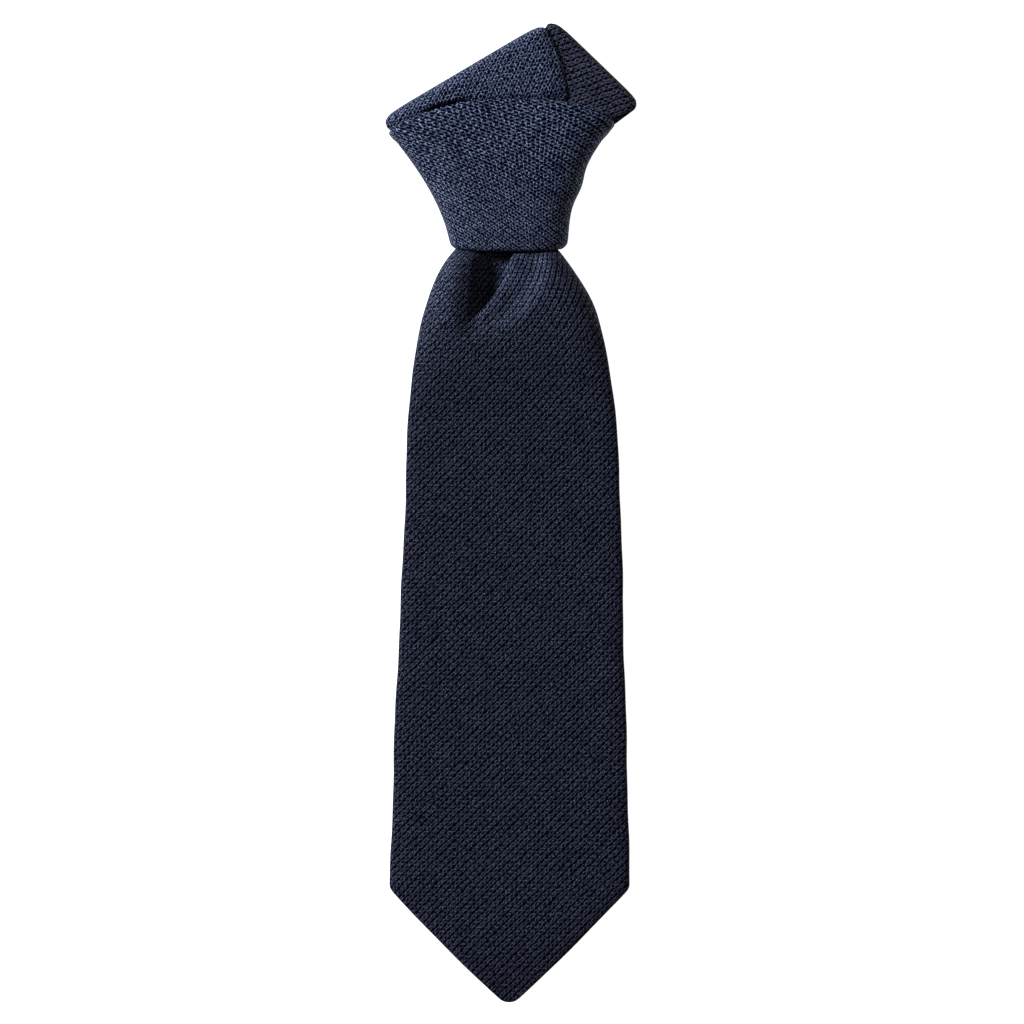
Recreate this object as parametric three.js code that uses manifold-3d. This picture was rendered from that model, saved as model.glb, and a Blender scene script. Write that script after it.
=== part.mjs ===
// A tied necktie lying face up: +Z up, the knot towards +Y and the point of the blade towards -Y.
// Every band of a tie is a sheath of silk folded round a strip of interlining and closed by a seam
// along the middle of its back. Lengths are millimetres.
import * as THREE from "three";
import Module from "manifold-3d";
import { mergeVertices } from "three/addons/utils/BufferGeometryUtils.js";

const wasm = await Module();
wasm.setup();

// Driving dimensions: the front
const BLADE_WIDTH = 80;
const TIP_Y = -165;
const POINT_LENGTH = 38;
const KNOT_FOOT_Y = 89;
const KNOT_HEIGHT = 50;
const KNOT_FOOT_HALF = 20;
const KNOT_LEFT_SPREAD = 22.3;
const KNOT_LEFT_RISE = 41;
const KNOT_RIGHT_SPREAD = 17.5;
const KNOT_RIGHT_RISE = 44;
const WRAP_LEFT_FALL = 9;
const WRAP_RIGHT_FALL = 6;
const WAIST_WIDTH = 36;
const SHOULDER_GAIN = 31;
const SHOULDER_LENGTH = 20;
const BLADE_AXIS_X = -0.35;

// Driving dimensions: the layers, from the table up
const GAP = 0.3;
const BAND_THICK = 2;
const TAIL_THICK = 2.6;
const BLADE_THICK = 3.2;
const BAND_WALL = 0.5;
const BLADE_WALL = 0.6;
const BAND_PADDING = 0.4;
const BLADE_PADDING = 0.8;
const LINING = 0.3;
const KEEPER_THICK = 0.5;
const STITCH_THICK = 0.4;
const LEVEL_STEP = BAND_THICK + GAP;
const BACK_WRAP_Z = 2 * LEVEL_STEP;
const TAIL_Z = 3 * LEVEL_STEP + 0.5;
const INNER_WRAP_Z = TAIL_Z + TAIL_THICK + GAP;
const PASSAGE_Z = INNER_WRAP_Z + BAND_THICK + GAP;
const FRONT_WRAP_TOP = 19;
const FRONT_WRAP_THICK = 2.6;
const FRONT_WRAP_WALL = 0.7;

// Driving dimensions: the neck loop, folded flat behind, and the narrow end
const LOOP_HINGE_Y = 128;
const LOOP_WIDTH = 33.4;
const LOOP_CENTRE_X = 17;
const LOOP_FOOT_Y = -150;
const LOOP_SPREAD_Y = 12;
const LOOP_CLIMB_START = 26;
const LOOP_CLIMB_LENGTH = 22;
const TAIL_TOP_Y = 128;
const TAIL_TIP_Y = -110;
const TAIL_TOP_WIDTH = 30;
const TAIL_WIDTH = 38;
const TAIL_POINT_LENGTH = 19;
const TAIL_SLOPE = 0.0099;
const KEEPER_Y = -5;
const KEEPER_LENGTH = 46;
const KEEPER_WIDTH = 14;
const BAR_TACK_Y = -20;
const TAIL_BAR_TACK_Y = -30;
const HEM = 7;
const SEAM_HALF = 0.5;
const POINT_HALF = 2;

// Every cross-section is drawn at this nominal half-width and then fitted to its band
const PROFILE_HALF = 50;

const clamp01 = (t) => Math.min(Math.max(t, 0), 1);
const ease = (t) => clamp01(t) ** 2 * (3 - 2 * clamp01(t));
const mix = (a, b, t) => a + (b - a) * t;

const silk = () => new THREE.MeshStandardMaterial({ color: 0x20222f, roughness: 0.85, metalness: 0 });
const wool = () => new THREE.MeshStandardMaterial({ color: 0xd9d2c0, roughness: 0.95, metalness: 0 });
const satin = () => new THREE.MeshStandardMaterial({ color: 0x191d2e, roughness: 0.45, metalness: 0 });
const thread = () => new THREE.MeshStandardMaterial({ color: 0x23273a, roughness: 0.6, metalness: 0 });

function named(name, geometry, material) {
  const mesh = new THREE.Mesh(geometry, material);
  mesh.name = name;
  return mesh;
}

// Solids

function toSolid(geometry) {
  const bare = geometry.clone();
  bare.deleteAttribute("normal");
  bare.deleteAttribute("uv");
  const merged = mergeVertices(bare, 1e-4);
  const vertProperties = new Float32Array(merged.attributes.position.array);
  const triVerts = new Uint32Array(merged.index.array);
  return new wasm.Manifold(new wasm.Mesh({ numProp: 3, vertProperties, triVerts }));
}

function toGeometry(solid) {
  const mesh = solid.getMesh();
  const geometry = new THREE.BufferGeometry();
  geometry.setAttribute("position", new THREE.BufferAttribute(mesh.vertProperties, 3));
  geometry.setIndex(new THREE.BufferAttribute(mesh.triVerts, 1));
  geometry.computeVertexNormals();
  return geometry;
}

function shapeOf(points) {
  return new THREE.Shape(points.map(([x, y]) => new THREE.Vector2(x, y)));
}

/** An upright slab whose plan is the outline, from height low to height high. */
function slab(outline, low, high) {
  const options = { depth: high - low, bevelEnabled: false };
  return new THREE.ExtrudeGeometry(shapeOf(outline), options).translate(0, 0, low);
}

/** The outline (listed anticlockwise) moved inwards by a distance on every side. */
function inset(outline, distance) {
  return outline.map((corner, i) => {
    const here = new THREE.Vector2(...corner);
    const before = new THREE.Vector2(...outline.at(i - 1));
    const after = new THREE.Vector2(...outline[(i + 1) % outline.length]);
    const arriving = here.clone().sub(before).normalize();
    const leaving = after.clone().sub(here).normalize();
    const normalIn = new THREE.Vector2(-arriving.y, arriving.x);
    const normalOut = new THREE.Vector2(-leaving.y, leaving.x);
    const mitre = normalIn.clone().add(normalOut).normalize();
    const moved = here.addScaledVector(mitre, distance / mitre.dot(normalIn));
    return [moved.x, moved.y];
  });
}

/** A flat sheath: a slab, hollow inside, whose hollow opens through a seam slot in its back. */
function flatSheath(outline, low, thick, wall, seam) {
  const outer = toSolid(slab(outline, low, low + thick));
  const hollow = toSolid(slab(inset(outline, wall), low + wall, low + thick - wall));
  const slot = toSolid(slab(seam, low - 1, low + wall + 0.1));
  return toGeometry(outer.subtract(hollow).subtract(slot));
}

/** The strip of padding that lies in the hollow of a flat sheath. */
function flatPadding(outline, low, thick, wall, padding) {
  const middle = low + thick / 2;
  return slab(inset(outline, wall + GAP), middle - padding / 2, middle + padding / 2);
}

function rectangle(left, right, low, high) {
  return [[left, low], [right, low], [right, high], [left, high]];
}

// Bands with a cross-section that changes along them

/** The cross-section of a sheath: two folded edges and a seam slot in the middle of the back. */
function sheathProfile(thick, wall) {
  const edge = PROFILE_HALF;
  const fold = wall;
  const inner = edge - wall;
  return shapeOf([
    [1, 0],
    [edge - fold, 0],
    [edge, thick / 2],
    [edge - fold, thick],
    [fold - edge, thick],
    [-edge, thick / 2],
    [fold - edge, 0],
    [-1, 0],
    [-1, wall],
    [-inner + fold, wall],
    [-inner + fold, thick - wall],
    [inner - fold, thick - wall],
    [inner - fold, wall],
    [1, wall],
  ]);
}

/** The cross-section of a strip inside a sheath, whose edges are margin short of the folds. */
function stripProfile(low, thick, margin) {
  const edge = PROFILE_HALF - margin;
  return shapeOf(rectangle(-edge, edge, low, low + thick));
}

/** Moves a point of a nominal cross-section to a band of another half-width and seam opening. */
function fitAcross(across, half, seam) {
  const side = Math.sign(across);
  if (Math.abs(across) < PROFILE_HALF / 2) {
    return side * seam;
  }
  return across - side * (PROFILE_HALF - half);
}

/** Extrudes a profile and lays it along a band. place(across, height, t) gives each point. */
function layBand(profile, steps, place) {
  const options = { depth: 1, steps, bevelEnabled: false };
  const geometry = new THREE.ExtrudeGeometry(profile, options);
  const position = geometry.attributes.position;
  for (let i = 0; i < position.count; i += 1) {
    position.setXYZ(i, ...place(position.getX(i), position.getY(i), position.getZ(i)));
  }
  geometry.computeVertexNormals();
  return geometry;
}

/** Plan position along a band with a shaped end: four fifths of its steps lie in its body. */
function alongShaped(t, top, corner, tip, crowding) {
  const share = 0.8;
  if (t < share) {
    return mix(top, corner, (t / share) ** crowding);
  }
  return mix(corner, tip, (t - share) / (1 - share));
}

// Outlines shared by several pieces

const bladeCornerY = TIP_Y + POINT_LENGTH;
const bladeTopY = KNOT_FOOT_Y - 1;
const knotTopY = KNOT_FOOT_Y + KNOT_HEIGHT;
const bladeTaper = (BLADE_WIDTH - WAIST_WIDTH - SHOULDER_GAIN) / (bladeTopY - bladeCornerY);

function bladeHalf(y) {
  const below = bladeTopY - y;
  const shoulder = SHOULDER_GAIN * (1 - Math.exp(-below / SHOULDER_LENGTH));
  const body = (WAIST_WIDTH + shoulder + bladeTaper * below) / 2;
  const point = mix(POINT_HALF, BLADE_WIDTH / 2, (y - TIP_Y) / POINT_LENGTH);
  return Math.min(body, point);
}

/** Height of the flat, slightly sloping plane that the narrow end slides in. */
const tailFloor = (y) => TAIL_Z - TAIL_SLOPE * (knotTopY - y);

function bladeFloor(y) {
  const clear = tailFloor(y) + TAIL_THICK + KEEPER_THICK + 2 * GAP;
  const lift = 1.5 * Math.exp((y - bladeTopY) / 15);
  const droop = 4 * clamp01((TIP_Y + 25 - y) / 25) ** 2;
  return clear + lift - droop;
}

/** How far the knot's front reaches to the left of the middle, at a height on the knot. */
function knotLeft(y) {
  return KNOT_FOOT_HALF + KNOT_LEFT_SPREAD * clamp01((y - KNOT_FOOT_Y) / KNOT_LEFT_RISE) ** 1.62;
}

function knotRight(y) {
  return KNOT_FOOT_HALF + KNOT_RIGHT_SPREAD * clamp01((y - KNOT_FOOT_Y) / KNOT_RIGHT_RISE) ** 2.3;
}

/** The top edge of the front wrap, which falls away to both sides. */
function wrapTop(x) {
  const left = WRAP_LEFT_FALL * clamp01(-x / 40) ** 2.2;
  const right = WRAP_RIGHT_FALL * clamp01(x / 37) ** 3;
  return knotTopY - left - right;
}

// The blade: the wide front end

const bladeSteps = 25;

function bladePlace(across, height, t) {
  const y = alongShaped(t, bladeTopY, bladeCornerY, TIP_Y, 1.5);
  const half = bladeHalf(y);
  const opened = clamp01((BAR_TACK_Y - y) / (BAR_TACK_Y - bladeCornerY));
  const window = mix(SEAM_HALF, half - HEM, opened);
  const seam = Math.max(SEAM_HALF, Math.min(window, half - HEM));
  return [fitAcross(across, half, seam), y, bladeFloor(y) + height];
}

function makeBladeShell() {
  return layBand(sheathProfile(BLADE_THICK, BLADE_WALL), bladeSteps, bladePlace);
}

function makeBladeInterlining() {
  const low = BLADE_WALL + GAP + LINING + GAP;
  const profile = stripProfile(low, BLADE_PADDING, 2 * BLADE_WALL + GAP);
  return layBand(profile, bladeSteps, (across, height, t) => {
    const [x, y, z] = bladePlace(across, height, t);
    return [Math.sign(x) * Math.max(Math.abs(x), 0.2), y, z];
  });
}

/** The lining of the point's back, which shows between the parted edges of the sheath. */
function makeBladeTipping() {
  const profile = stripProfile(BLADE_WALL + GAP, LINING, 2 * BLADE_WALL + GAP);
  const top = BAR_TACK_Y - 8;
  return layBand(profile, bladeSteps, (across, height, t) => {
    const y = alongShaped(t, top, bladeCornerY, TIP_Y, 1.5);
    const x = fitAcross(across, bladeHalf(y), 0);
    return [Math.sign(x) * Math.max(Math.abs(x), 0.2), y, bladeFloor(y) + height];
  });
}

/** A band of the same silk across the back, sewn down at both ends. */
function makeKeeper() {
  const low = -GAP - KEEPER_THICK;
  const floor = bladeFloor(KEEPER_Y);
  const half = KEEPER_LENGTH / 2;
  const plan = rectangle(-half, half, KEEPER_Y - KEEPER_WIDTH / 2, KEEPER_Y + KEEPER_WIDTH / 2);
  return slab(plan, floor + low, floor - GAP);
}

/** A short bar of stitches lying on the back, across the seam. */
function makeBarTack(y, floor) {
  const top = floor - GAP;
  return slab(rectangle(-4, 4, y - 0.6, y + 0.6), top - STITCH_THICK, top);
}

/** The thread that closes a sheath: it lies in the seam slot, between the two folded edges. */
function makeSlipStitch(top, bottom, floorAt) {
  const half = SEAM_HALF - GAP;
  const profile = shapeOf(rectangle(-half, half, 0.1, 0.1 + STITCH_THICK));
  return layBand(profile, 12, (across, height, t) => {
    const y = mix(top, bottom, t);
    return [across, y, floorAt(y) + height];
  });
}

function makeBlade() {
  const blade = new THREE.Group();
  const stitchEnd = BAR_TACK_Y + 3;
  blade.add(
    named("front_blade_shell", makeBladeShell(), silk()),
    named("front_blade_interlining", makeBladeInterlining(), wool()),
    named("front_blade_tipping", makeBladeTipping(), satin()),
    named("keeper_loop", makeKeeper(), silk()),
    named("front_bar_tack", makeBarTack(BAR_TACK_Y, bladeFloor(BAR_TACK_Y)), thread()),
    named("front_slip_stitch", makeSlipStitch(bladeTopY - 3, stitchEnd, bladeFloor), thread()),
  );
  return blade;
}

// The tail: the narrow end, which slides through the knot

const tailCornerY = TAIL_TIP_Y + TAIL_POINT_LENGTH;
const tailSteps = 20;

function tailHalf(y) {
  const spread = ease((60 - y) / (60 - tailCornerY));
  const body = mix(TAIL_TOP_WIDTH, TAIL_WIDTH, spread) / 2;
  const point = mix(POINT_HALF - 0.2, TAIL_WIDTH / 2, (y - TAIL_TIP_Y) / TAIL_POINT_LENGTH);
  return Math.min(body, point);
}

function tailPlace(across, height, t) {
  const y = alongShaped(t, TAIL_TOP_Y, tailCornerY, TAIL_TIP_Y, 1);
  const half = tailHalf(y);
  const hem = HEM - 2;
  const opened = clamp01((TAIL_BAR_TACK_Y - y) / (TAIL_BAR_TACK_Y - tailCornerY));
  const window = mix(SEAM_HALF, half - hem, opened);
  const seam = Math.max(SEAM_HALF, Math.min(window, half - hem));
  return [fitAcross(across, half, seam), y, tailFloor(y) + height];
}

function makeTailStrip(low, thick, top) {
  const profile = stripProfile(low, thick, 2 * BAND_WALL + GAP);
  return layBand(profile, tailSteps, (across, height, t) => {
    const y = alongShaped(t, top, tailCornerY, TAIL_TIP_Y, 1);
    const x = fitAcross(across, tailHalf(y), 0);
    return [Math.sign(x) * Math.max(Math.abs(x), 0.2), y, tailFloor(y) + height];
  });
}

function makeTail() {
  const tail = new THREE.Group();
  const lining = 0.2;
  const liningLow = BAND_WALL + GAP;
  const paddingLow = liningLow + lining + GAP;
  const shell = layBand(sheathProfile(TAIL_THICK, BAND_WALL), tailSteps, tailPlace);
  const tackFloor = tailFloor(TAIL_BAR_TACK_Y);
  const stitch = makeSlipStitch(TAIL_TOP_Y - 3, TAIL_BAR_TACK_Y + 3, tailFloor);
  tail.add(
    named("tail_shell", shell, silk()),
    named("tail_interlining", makeTailStrip(paddingLow, 0.5, TAIL_TOP_Y), wool()),
    named("tail_tipping", makeTailStrip(liningLow, lining, TAIL_BAR_TACK_Y - 6), satin()),
    named("tail_bar_tack", makeBarTack(TAIL_BAR_TACK_Y, tackFloor), thread()),
    named("tail_slip_stitch", stitch, thread()),
  );
  return tail;
}

// The neck loop: two legs folded down behind the knot and joined by a turn with two mitred folds

const legEndY = (x) => LOOP_FOOT_Y + Math.abs(x);
const turnTopY = LOOP_FOOT_Y + 2 * LOOP_CENTRE_X;

/** How far a leg has been drawn in from its own side of the tie towards the knot, from 0 to 1. */
const gatherAt = (y) => ease((y - LOOP_SPREAD_Y) / (KNOT_FOOT_Y - LOOP_SPREAD_Y));

function leftLegEdges(y) {
  if (y > KNOT_FOOT_Y) {
    return [2 - knotLeft(y), 17];
  }
  const centre = mix(-LOOP_CENTRE_X, -0.5, gatherAt(y));
  const half = mix(LOOP_WIDTH / 2, 17.5, gatherAt(y));
  return [centre - half, centre + half];
}

function rightLegEdges(y) {
  if (y > KNOT_FOOT_Y) {
    const rise = (y - KNOT_FOOT_Y) / (LOOP_HINGE_Y - KNOT_FOOT_Y);
    return [mix(-16, -2, rise), knotRight(y) - 2];
  }
  const centre = mix(LOOP_CENTRE_X, 1, gatherAt(y));
  const half = mix(LOOP_WIDTH / 2, 17, gatherAt(y));
  return [centre - half, centre + half];
}

/** A climb of one level, from 0 to 1, that begins a little way off an edge and is done before it. */
const climbTowards = (distance) => ease((LOOP_CLIMB_START - distance) / LOOP_CLIMB_LENGTH);

/** Both legs stand on the turn's strip at the foot. The right one also climbs onto the left one. */
function leftLegFloor(y) {
  return LEVEL_STEP * climbTowards(y - turnTopY);
}

function rightLegFloor(y) {
  return LEVEL_STEP * Math.max(climbTowards(LOOP_SPREAD_Y - y), climbTowards(y - turnTopY));
}

/** edges(y) gives a leg's two sides, floor(y) its underside. The foot ends on a mitred fold. */
function layLeg(profile, edges, floor) {
  return layBand(profile, 40, (across, height, t) => {
    const [footLeft, footRight] = edges(LOOP_FOOT_Y);
    const footCentre = (footLeft + footRight) / 2;
    const footX = footCentre + fitAcross(across, (footRight - footLeft) / 2, SEAM_HALF);
    const y = alongShaped(t, LOOP_HINGE_Y - GAP, turnTopY, legEndY(footX), 1);
    const [left, right] = edges(y);
    const x = (left + right) / 2 + fitAcross(across, (right - left) / 2, SEAM_HALF);
    return [x, y, floor(y) + height];
  });
}

/** The strip under both feet: a pointed outline whose two slanting sides are the mitred folds. */
function turnOutline() {
  const reach = 2 * LOOP_CENTRE_X;
  return [[0, LOOP_FOOT_Y], [reach, turnTopY], [-reach, turnTopY]];
}

function makeNeckLoop() {
  const loop = new THREE.Group();
  const shell = sheathProfile(BAND_THICK, BAND_WALL);
  const padding = stripProfile(BAND_WALL + GAP, BAND_PADDING, 2 * BAND_WALL + GAP);
  const seamY = turnTopY - LOOP_CENTRE_X;
  const seam = rectangle(-26, 26, seamY - SEAM_HALF, seamY + SEAM_HALF);
  const turn = flatSheath(turnOutline(), 0, BAND_THICK, BAND_WALL, seam);
  const turnPadding = flatPadding(turnOutline(), 0, BAND_THICK, BAND_WALL, BAND_PADDING);
  loop.add(
    named("left_leg_shell", layLeg(shell, leftLegEdges, leftLegFloor), silk()),
    named("left_leg_interlining", layLeg(padding, leftLegEdges, leftLegFloor), wool()),
    named("right_leg_shell", layLeg(shell, rightLegEdges, rightLegFloor), silk()),
    named("right_leg_interlining", layLeg(padding, rightLegEdges, rightLegFloor), wool()),
    named("neck_turn_shell", turn, silk()),
    named("neck_turn_interlining", turnPadding, wool()),
  );
  return loop;
}

// The neck bands: where each side of the loop comes out of the knot and folds down behind it

/** A hairpin fold: a band that runs up at one height, turns over and runs back at a lower one. */
function hairpin(start, end, low, high, trim) {
  const along = new THREE.Vector2(end[0] - start[0], end[1] - start[1]);
  const length = along.length();
  along.normalize();
  const reach = 55;
  const thick = BAND_THICK - 2 * trim;
  const turn = new THREE.Shape();
  turn.moveTo(reach, low + trim);
  turn.lineTo(reach, low + trim + thick);
  turn.lineTo(5, low + trim + thick);
  turn.quadraticCurveTo(2 - trim, low + BAND_THICK, 2 - trim, (low + high) / 2);
  turn.quadraticCurveTo(2 - trim, high - BAND_THICK, 5, high - trim - thick);
  turn.lineTo(reach, high - trim - thick);
  turn.lineTo(reach, high - trim);
  turn.lineTo(4, high - trim);
  turn.quadraticCurveTo(trim, high - trim, trim, (low + high) / 2);
  turn.quadraticCurveTo(trim, low + trim, 4, low + trim);
  const depth = length - 2 * trim;
  const options = { depth, bevelEnabled: false, curveSegments: 4 };
  const geometry = new THREE.ExtrudeGeometry(turn, options).translate(0, 0, trim);
  const inward = new THREE.Vector3(along.y, -along.x, 0);
  const backward = new THREE.Vector3(-along.x, -along.y, 0);
  const frame = new THREE.Matrix4().makeBasis(inward, new THREE.Vector3(0, 0, 1), backward);
  frame.setPosition(end[0], end[1], 0);
  return toSolid(geometry.applyMatrix4(frame));
}

/** A hairpin trimmed to one plan for its front run and another for its back run. */
function trimmedHairpin(band, trim, margin) {
  const middle = (band.low + band.high) / 2;
  const whole = hairpin(band.start, band.end, band.low, band.high, trim);
  const front = toSolid(slab(inset(band.frontPlan, margin), middle, band.high + 1));
  const back = toSolid(slab(inset(band.backPlan, margin), band.low - 1, middle));
  return whole.intersect(front.add(back));
}

/** Where each fold line runs, the band's lowest and highest level, and the plans of its two runs. */
const leftBand = {
  start: [-42, 131.3],
  end: [9, 163.5],
  low: 0,
  high: INNER_WRAP_Z + BAND_THICK,
  frontPlan: [
    [-43.5, 131],
    [-33, wrapTop(-33) + 0.5],
    [-24, wrapTop(-24) + 0.5],
    [-20, 122],
    [16, 122],
    [19, 140],
    [11, 161],
    [9.5, 165],
    [-20, 150],
  ],
  backPlan: [[-43.5, 131], [-38, 128.3], [17, 128.3], [17, 145], [9.5, 165], [-20, 150]],
  seam: rectangle(-1, 0, 128, 150),
};

const rightBand = {
  start: [13.8, 165],
  end: [42.7, 137.5],
  low: LEVEL_STEP,
  high: TAIL_Z + BAND_THICK,
  frontPlan: [
    [3, 139.5],
    [20, 139.5],
    [30, wrapTop(30) + 0.5],
    [37, wrapTop(37) + 0.5],
    [44, 137],
    [14, 167],
    [12.4, 160.3],
    [8, 153],
  ],
  backPlan: [[-2, 128.3], [32, 128.3], [44, 137], [14, 167], [12.4, 160.3], [8, 153]],
  seam: rectangle(15, 16, 128, 146),
};

/** The silk of a neck band, hollow, with the seam slot in the back of its lower run. */
function makeBandShell(band) {
  const outer = trimmedHairpin(band, 0, 0);
  const hollow = trimmedHairpin(band, BAND_WALL, 1);
  const slot = toSolid(slab(band.seam, band.low - 1, band.low + BAND_WALL + 0.1));
  return toGeometry(outer.subtract(hollow).subtract(slot));
}

function makeBandPadding(band) {
  return toGeometry(trimmedHairpin(band, BAND_WALL + GAP, 1 + GAP + 0.1));
}

// The knot

/** A power that keeps its base's sign: it squares off the shoulders of a round arch. */
const squarish = (value) => Math.sign(value) * Math.abs(value) ** 0.6;

/** A layer of the front wrap as half a ring, between two depths. It may run on below its feet. */
function archProfile(outerDepth, innerDepth, overrun) {
  const stations = Array.from({ length: 17 + 2 * overrun }, (_, i) => i - overrun);
  const angles = stations.map((station) => (Math.PI * station) / 16);
  const arc = (radius) => angles.map((angle) => [radius * Math.cos(angle), radius * Math.sin(angle)]);
  return shapeOf([...arc(PROFILE_HALF - outerDepth), ...arc(PROFILE_HALF - innerDepth).reverse()]);
}

/** Bends half a ring over the knot, short of the knot's foot and its top edge by a margin. */
function layArch(profile, margin) {
  return layBand(profile, 8, (across, height, t) => {
    const angle = Math.atan2(height, across);
    const depth = PROFILE_HALF - Math.hypot(across, height);
    const share = squarish(Math.cos(angle));
    const topHalf = KNOT_FOOT_HALF + (share < 0 ? KNOT_LEFT_SPREAD : KNOT_RIGHT_SPREAD);
    const y = mix(wrapTop(topHalf * share) - margin, KNOT_FOOT_Y + margin, t);
    const reach = (share < 0 ? knotLeft(y) : knotRight(y)) - depth;
    const rise = FRONT_WRAP_TOP - TAIL_Z - depth;
    return [share * reach, y, TAIL_Z + rise * squarish(Math.sin(angle))];
  });
}

function makeFrontWrap() {
  const outer = toSolid(layArch(archProfile(0, FRONT_WRAP_THICK, 0), 0));
  const inner = FRONT_WRAP_THICK - FRONT_WRAP_WALL;
  const hollow = toSolid(layArch(archProfile(FRONT_WRAP_WALL, inner, 1), FRONT_WRAP_WALL));
  return toGeometry(outer.subtract(hollow));
}

function knotPlan(margin, low, high) {
  const rows = 5;
  const heights = Array.from({ length: rows + 1 }, (_, i) => mix(low, high, i / rows));
  const right = heights.map((y) => [knotRight(y) - margin, y]);
  const left = heights.map((y) => [margin - knotLeft(y), y]).reverse();
  return [...right, ...left];
}

function makeKnotCore() {
  const seam = rectangle(-18, 18, 104, 105);
  const backPlan = knotPlan(1, KNOT_FOOT_Y + 1, 127);
  const innerPlan = knotPlan(5, KNOT_FOOT_Y + 2, 121);
  const passagePlan = [[-11, KNOT_FOOT_Y], [11, KNOT_FOOT_Y], [18, 138], [-20, 137]];
  const passageSeam = rectangle(-0.5, 0.5, KNOT_FOOT_Y + 4, 132);
  const pieces = [
    ["knot_back_wrap", backPlan, BACK_WRAP_Z, seam],
    ["knot_inner_wrap", innerPlan, INNER_WRAP_Z, seam],
    ["blade_passage", passagePlan, PASSAGE_Z, passageSeam],
  ];
  return pieces.flatMap(([name, plan, low, slot]) => [
    named(`${name}_shell`, flatSheath(plan, low, BAND_THICK, BAND_WALL, slot), silk()),
    named(`${name}_interlining`, flatPadding(plan, low, BAND_THICK, BAND_WALL, BAND_PADDING), wool()),
  ]);
}

function makeKnot() {
  const knot = new THREE.Group();
  const paddingDepth = (FRONT_WRAP_THICK - BAND_PADDING) / 2;
  const paddingMargin = 2 * FRONT_WRAP_WALL;
  const wrapPadding = layArch(
    archProfile(paddingDepth, FRONT_WRAP_THICK - paddingDepth, -1),
    paddingMargin,
  );
  knot.add(
    named("knot_front_wrap_shell", makeFrontWrap(), silk()),
    named("knot_front_wrap_interlining", wrapPadding, wool()),
    named("left_neck_band_shell", makeBandShell(leftBand), silk()),
    named("left_neck_band_interlining", makeBandPadding(leftBand), wool()),
    named("right_neck_band_shell", makeBandShell(rightBand), silk()),
    named("right_neck_band_interlining", makeBandPadding(rightBand), wool()),
    ...makeKnotCore(),
  );
  return knot;
}

const necktie = new THREE.Group();
necktie.add(makeKnot(), makeBlade(), makeTail(), makeNeckLoop());
necktie.position.x = BLADE_AXIS_X;

export default necktie;
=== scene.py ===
"""A tied necktie of navy grenadine silk, lying on its back on a white table.

Every band is a sheath of silk folded round a strip of wool. A sheath is laid along a route of rows,
and each row is known twice: where it lies, and where it was on the flat cloth, so that the weave
follows the cloth through every fold. Lengths are millimetres until a mesh is made, and x counts
from the blade's axis.
"""

import bpy
import numpy as np
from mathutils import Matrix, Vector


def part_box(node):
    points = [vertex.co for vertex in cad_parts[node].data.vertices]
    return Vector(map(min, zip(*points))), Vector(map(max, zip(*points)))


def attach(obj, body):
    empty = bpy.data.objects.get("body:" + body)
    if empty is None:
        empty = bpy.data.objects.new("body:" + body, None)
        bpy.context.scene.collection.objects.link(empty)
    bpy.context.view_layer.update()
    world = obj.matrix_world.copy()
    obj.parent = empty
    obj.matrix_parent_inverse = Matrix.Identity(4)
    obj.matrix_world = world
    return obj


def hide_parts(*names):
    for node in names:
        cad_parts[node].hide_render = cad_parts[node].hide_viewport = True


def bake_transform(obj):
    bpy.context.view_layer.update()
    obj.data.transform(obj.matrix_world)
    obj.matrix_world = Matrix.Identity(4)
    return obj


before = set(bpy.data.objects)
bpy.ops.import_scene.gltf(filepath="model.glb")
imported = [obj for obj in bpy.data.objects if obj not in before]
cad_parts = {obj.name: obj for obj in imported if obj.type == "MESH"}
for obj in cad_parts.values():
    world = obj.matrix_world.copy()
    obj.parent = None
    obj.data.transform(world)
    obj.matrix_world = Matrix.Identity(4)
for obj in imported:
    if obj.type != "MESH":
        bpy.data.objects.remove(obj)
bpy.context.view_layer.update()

MM = 0.001


def box_mm(node):
    """The lowest and highest corner of a CAD node in millimetres."""
    low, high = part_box(node)
    return np.array(low) / MM, np.array(high) / MM


# Places and sizes that the frame holds

BLADE_LOW, BLADE_HIGH = box_mm("front_blade_shell")
WRAP_LOW, WRAP_HIGH = box_mm("knot_front_wrap_shell")
BACK_WRAP_LOW, BACK_WRAP_HIGH = box_mm("knot_back_wrap_shell")
INNER_LOW, INNER_HIGH = box_mm("knot_inner_wrap_shell")
PASSAGE_LOW, PASSAGE_HIGH = box_mm("blade_passage_shell")
LEFT_BAND_LOW = box_mm("left_neck_band_shell")[0]
RIGHT_BAND_LOW = box_mm("right_neck_band_shell")[0]
TAIL_LOW, TAIL_HIGH = box_mm("tail_shell")
KEEPER_LOW, KEEPER_HIGH = box_mm("keeper_loop")
TURN_LOW, TURN_HIGH = box_mm("neck_turn_shell")
TACK_LOW, TACK_HIGH = box_mm("front_bar_tack")
TAIL_TACK_LOW, TAIL_TACK_HIGH = box_mm("tail_bar_tack")

AXIS_X = (BLADE_LOW[0] + BLADE_HIGH[0]) / 2
TIP_Y = BLADE_LOW[1]
BLADE_TOP_Y = BLADE_HIGH[1]
KNOT_FOOT_Y = WRAP_LOW[1]
KNOT_TOP_Y = WRAP_HIGH[1]
HINGE_Y = box_mm("left_leg_shell")[1][1]
TAIL_TIP_Y = TAIL_LOW[1]
TAIL_TOP_Y = TAIL_HIGH[1]
KEEPER_Y = (KEEPER_LOW[1] + KEEPER_HIGH[1]) / 2
BAR_TACK_Y = (TACK_LOW[1] + TACK_HIGH[1]) / 2
TAIL_BAR_TACK_Y = (TAIL_TACK_LOW[1] + TAIL_TACK_HIGH[1]) / 2
LOOP_FOOT_Y = TURN_LOW[1]
TURN_TOP_Y = TURN_HIGH[1]

# The wide blade

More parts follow.
